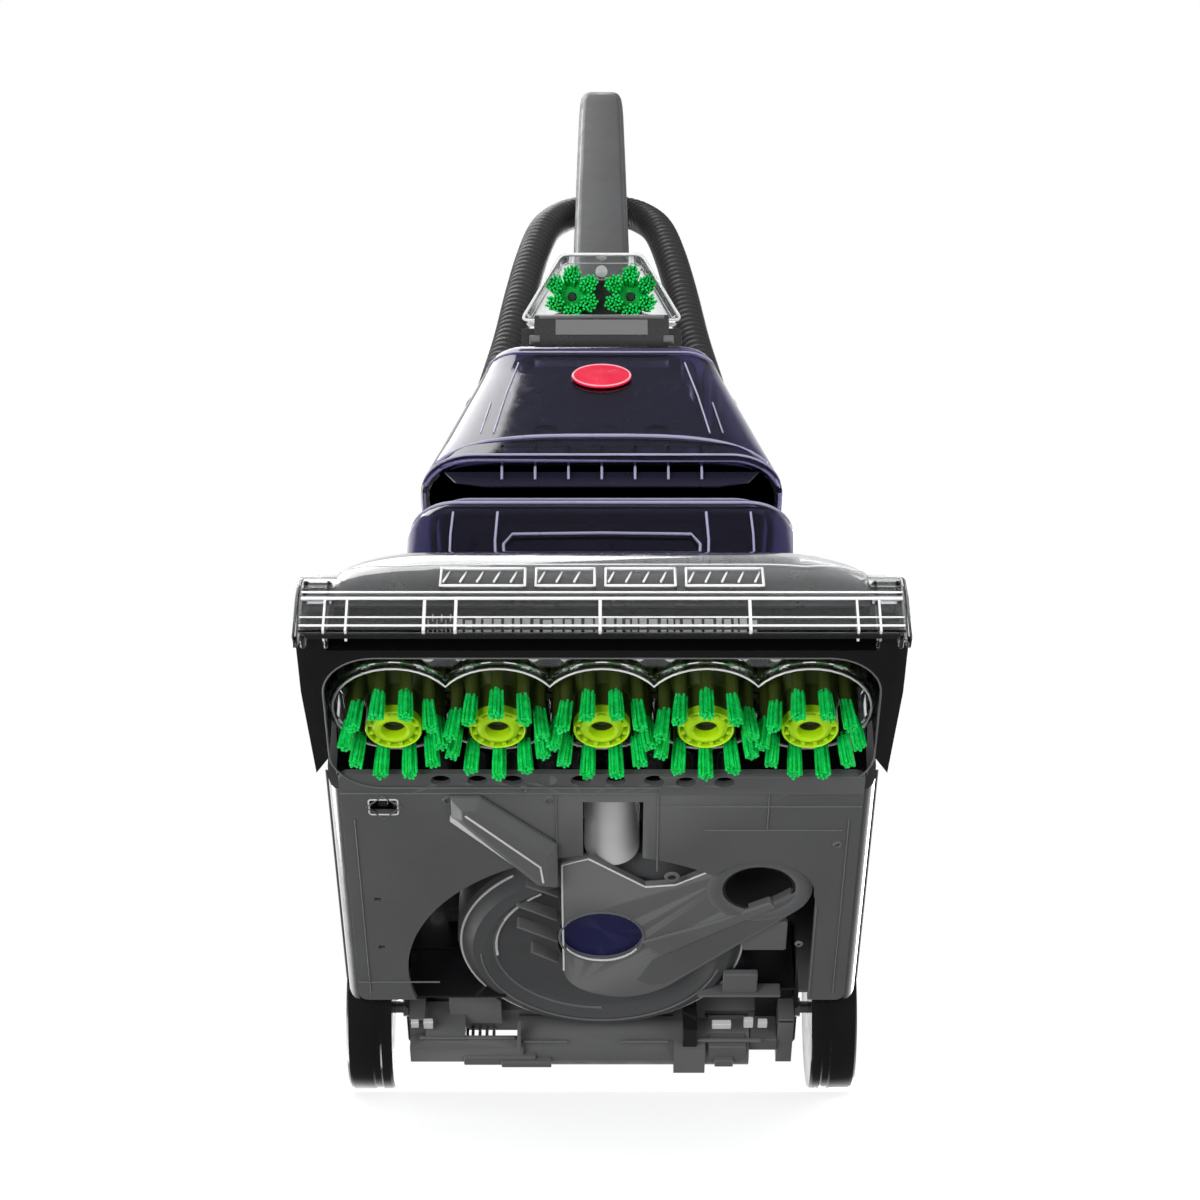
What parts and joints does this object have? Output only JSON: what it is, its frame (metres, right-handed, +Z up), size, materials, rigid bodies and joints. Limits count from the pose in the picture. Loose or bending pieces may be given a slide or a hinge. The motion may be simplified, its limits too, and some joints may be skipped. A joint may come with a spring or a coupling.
{
  "type": "upright carpet cleaner",
  "caption": "Upright carpet washer: counter-rotating bristle brushes under a clear suction nozzle, lift-off recovery tank, reclining upright with solution tank, hose and powered hand tool.",
  "frame": {"origin": "on the floor, under the middle of the machine's overall width and depth", "axes": "+Z up, -Y is the nozzle's front, +X is the right-hand side seen from in front of the machine"},
  "size_m": [0.333, 0.5638, 0.9933],
  "materials": {
    "housing_plastic": "fine-textured charcoal moulding",
    "grey_plastic": "satin mid-charcoal moulding",
    "mid_grey_plastic": "satin grey moulding",
    "light_grey_plastic": "satin light grey moulding",
    "black_plastic": "glossy black moulding",
    "lime_plastic": "semi-gloss lime moulding with green bristles",
    "green_bristle": "green nylon bristles",
    "red_plastic": "gloss red",
    "clear_plastic": "water-clear moulding",
    "violet_plastic": "transparent dark violet moulding",
    "black_rubber": "matt",
    "hose_vinyl": "ribbed vinyl hose",
    "steel": "bright steel",
    "motor_can": "plated motor can"
  },
  "bodies": {
    "base": {"brush_hood": "black_plastic", "nozzle_back": "grey_plastic", "brush_block": "housing_plastic", "brush_shroud": "clear_plastic", "brush_motor": "motor_can", "base_housing": "housing_plastic", "bottom_plate": "grey_plastic", "fan_housing": "housing_plastic", "air_duct_cover": "mid_grey_plastic", "solution_channel": "mid_grey_plastic", "intake_pipe": "light_grey_plastic", "suction_motor": "motor_can", "solution_pump": "black_plastic", "spray_bar": "light_grey_plastic", "rear_frame": "mid_grey_plastic", "rear_axle": "steel"},
    "nozzle_cover": {"nozzle_cover": "clear_plastic"},
    "pinion": {"brush_pinion": "light_grey_plastic"},
    "fan": {"fan_impeller": "light_grey_plastic", "motor_shaft": "steel"},
    "wheel_left": {"wheel_left": "black_plastic", "hub_cap_left": "housing_plastic"},
    "wheel_right": {"wheel_right": "black_plastic", "hub_cap_right": "housing_plastic"},
    "pedal": {"release_pedal": "black_plastic"},
    "tank": {"recovery_tub": "violet_plastic", "riser_duct": "housing_plastic", "lid_gasket": "black_rubber"},
    "lid": {"tank_lid": "violet_plastic", "badge": "red_plastic", "float_cage": "black_plastic"},
    "float": {"float": "light_grey_plastic"},
    "carry_handle": {"carry_handle": "grey_plastic"},
    "upright": {"lower_frame": "housing_plastic", "frame_back_panel": "grey_plastic", "stem": "mid_grey_plastic", "stem_face": "grey_plastic", "grip": "housing_plastic", "hose": "hose_vinyl", "hose_socket_left": "black_rubber", "hose_socket_right": "black_rubber", "hose_hook": "housing_plastic", "tool_hood": "clear_plastic", "tool_gearcase": "housing_plastic", "tool_body": "housing_plastic", "tool_dock": "black_plastic", "solution_shelf": "housing_plastic", "cord_gland": "black_rubber"},
    "trigger": {"spray_trigger": "lime_plastic"},
    "power_switch": {"power_switch": "red_plastic"},
    "cord_hook": {"cord_hook_upper": "black_plastic"},
    "solution_tank": {"solution_tank": "violet_plastic"},
    "solution_cap": {"solution_cap": "grey_plastic"},
    "tool_brush_left": {"tool_brush_left": "green_bristle"},
    "tool_brush_right": {"tool_brush_right": "green_bristle"},
    "brush_1": {"brush_1": "lime_plastic"},
    "brush_2": {"brush_2": "lime_plastic"},
    "brush_3": {"brush_3": "lime_plastic"},
    "brush_4": {"brush_4": "lime_plastic"},
    "brush_5": {"brush_5": "lime_plastic"}
  },
  "joints": [
    {"name": "handle_recline", "type": "hinge", "parent": "base", "child": "upright", "pos_m": [0, 0.01815, 0.1], "axis": [-1, 0, 0], "range_deg": [0, 50]},
    {"name": "wheel_left_spin", "type": "hinge", "parent": "base", "child": "wheel_left", "pos_m": [-0.146, 0.14315, 0.052], "axis": [1, 0, 0], "continuous": true},
    {"name": "wheel_right_spin", "type": "hinge", "parent": "base", "child": "wheel_right", "pos_m": [0.146, 0.14315, 0.052], "axis": [1, 0, 0], "continuous": true},
    {"name": "pinion_spin", "type": "hinge", "parent": "base", "child": "pinion", "pos_m": [0, -0.14028, 0.048], "axis": [0, 0, 1], "continuous": true},
    {"name": "brush_1_spin", "type": "hinge", "parent": "base", "child": "brush_1", "pos_m": [-0.117, -0.18415, 0.048], "axis": [0, 0, 1], "continuous": true},
    {"name": "brush_2_spin", "type": "hinge", "parent": "base", "child": "brush_2", "pos_m": [-0.0585, -0.18415, 0.048], "axis": [0, 0, 1], "continuous": true},
    {"name": "brush_3_spin", "type": "hinge", "parent": "base", "child": "brush_3", "pos_m": [0, -0.18415, 0.048], "axis": [0, 0, 1], "continuous": true},
    {"name": "brush_4_spin", "type": "hinge", "parent": "base", "child": "brush_4", "pos_m": [0.0585, -0.18415, 0.048], "axis": [0, 0, 1], "continuous": true},
    {"name": "brush_5_spin", "type": "hinge", "parent": "base", "child": "brush_5", "pos_m": [0.117, -0.18415, 0.048], "axis": [0, 0, 1], "continuous": true},
    {"name": "fan_spin", "type": "hinge", "parent": "base", "child": "fan", "pos_m": [0, 0.04315, 0.06], "axis": [0, 0, 1], "continuous": true},
    {"name": "release_pedal_press", "type": "hinge", "parent": "base", "child": "pedal", "pos_m": [-0.076, 0.17015, 0.096], "axis": [-1, 0, 0], "range_deg": [0, 10], "stiffness_Nm_per_rad": 0.6, "springref_deg": -11.46},
    {"name": "nozzle_cover_release", "type": "slide", "parent": "base", "child": "nozzle_cover", "axis": [0, -1, 0], "range_m": [0, 0.04]},
    {"name": "tank_lift", "type": "slide", "parent": "base", "child": "tank", "axis": [0, 0, 1], "range_m": [0, 0.15]},
    {"name": "lid_lift", "type": "slide", "parent": "tank", "child": "lid", "axis": [0, 0, 1], "range_m": [0, 0.14]},
    {"name": "float_rise", "type": "slide", "parent": "lid", "child": "float", "axis": [0, 0, 1], "range_m": [0, 0.04]},
    {"name": "carry_handle_swing", "type": "hinge", "parent": "lid", "child": "carry_handle", "pos_m": [0, -0.07985, 0.395], "axis": [-1, 0, 0], "range_deg": [0, 85]},
    {"name": "spray_trigger_squeeze", "type": "hinge", "parent": "upright", "child": "trigger", "pos_m": [0, 0.21557, 0.9547], "axis": [1, 0, 0], "range_deg": [0, 9], "stiffness_Nm_per_rad": 0.1, "springref_deg": -17.19},
    {"name": "power_switch_rock", "type": "hinge", "parent": "upright", "child": "power_switch", "pos_m": [0, 0.24757, 0.97495], "axis": [-1, 0, 0], "range_deg": [0, 12]},
    {"name": "cord_hook_turn", "type": "hinge", "parent": "upright", "child": "cord_hook", "pos_m": [0, 0.16277, 0.80154], "axis": [0, 0.9848, -0.1736], "range_deg": [0, 180]},
    {"name": "solution_tank_lift", "type": "slide", "parent": "upright", "child": "solution_tank", "axis": [0, 0.1736, 0.9848], "range_m": [0, 0.12]},
    {"name": "solution_cap_turn", "type": "hinge", "parent": "solution_tank", "child": "solution_cap", "pos_m": [0, 0.17819, 0.61605], "axis": [0, 0.1736, 0.9848], "range_deg": [0, 270]},
    {"name": "tool_brush_left_spin", "type": "hinge", "parent": "upright", "child": "tool_brush_left", "pos_m": [-0.0215, 0.04282, 0.60991], "axis": [0, 0.809, 0.5878], "continuous": true},
    {"name": "tool_brush_right_spin", "type": "hinge", "parent": "upright", "child": "tool_brush_right", "pos_m": [0.0215, 0.04282, 0.60991], "axis": [0, 0.809, 0.5878], "continuous": true}
  ],
  "couplings": [
    {"joint": "brush_1_spin", "follows": "brush_3_spin", "ratio": 1},
    {"joint": "brush_2_spin", "follows": "brush_3_spin", "ratio": -1},
    {"joint": "brush_4_spin", "follows": "brush_3_spin", "ratio": -1},
    {"joint": "brush_5_spin", "follows": "brush_3_spin", "ratio": 1},
    {"joint": "pinion_spin", "follows": "brush_3_spin", "ratio": -2},
    {"joint": "tool_brush_right_spin", "follows": "tool_brush_left_spin", "ratio": -1}
  ]
}
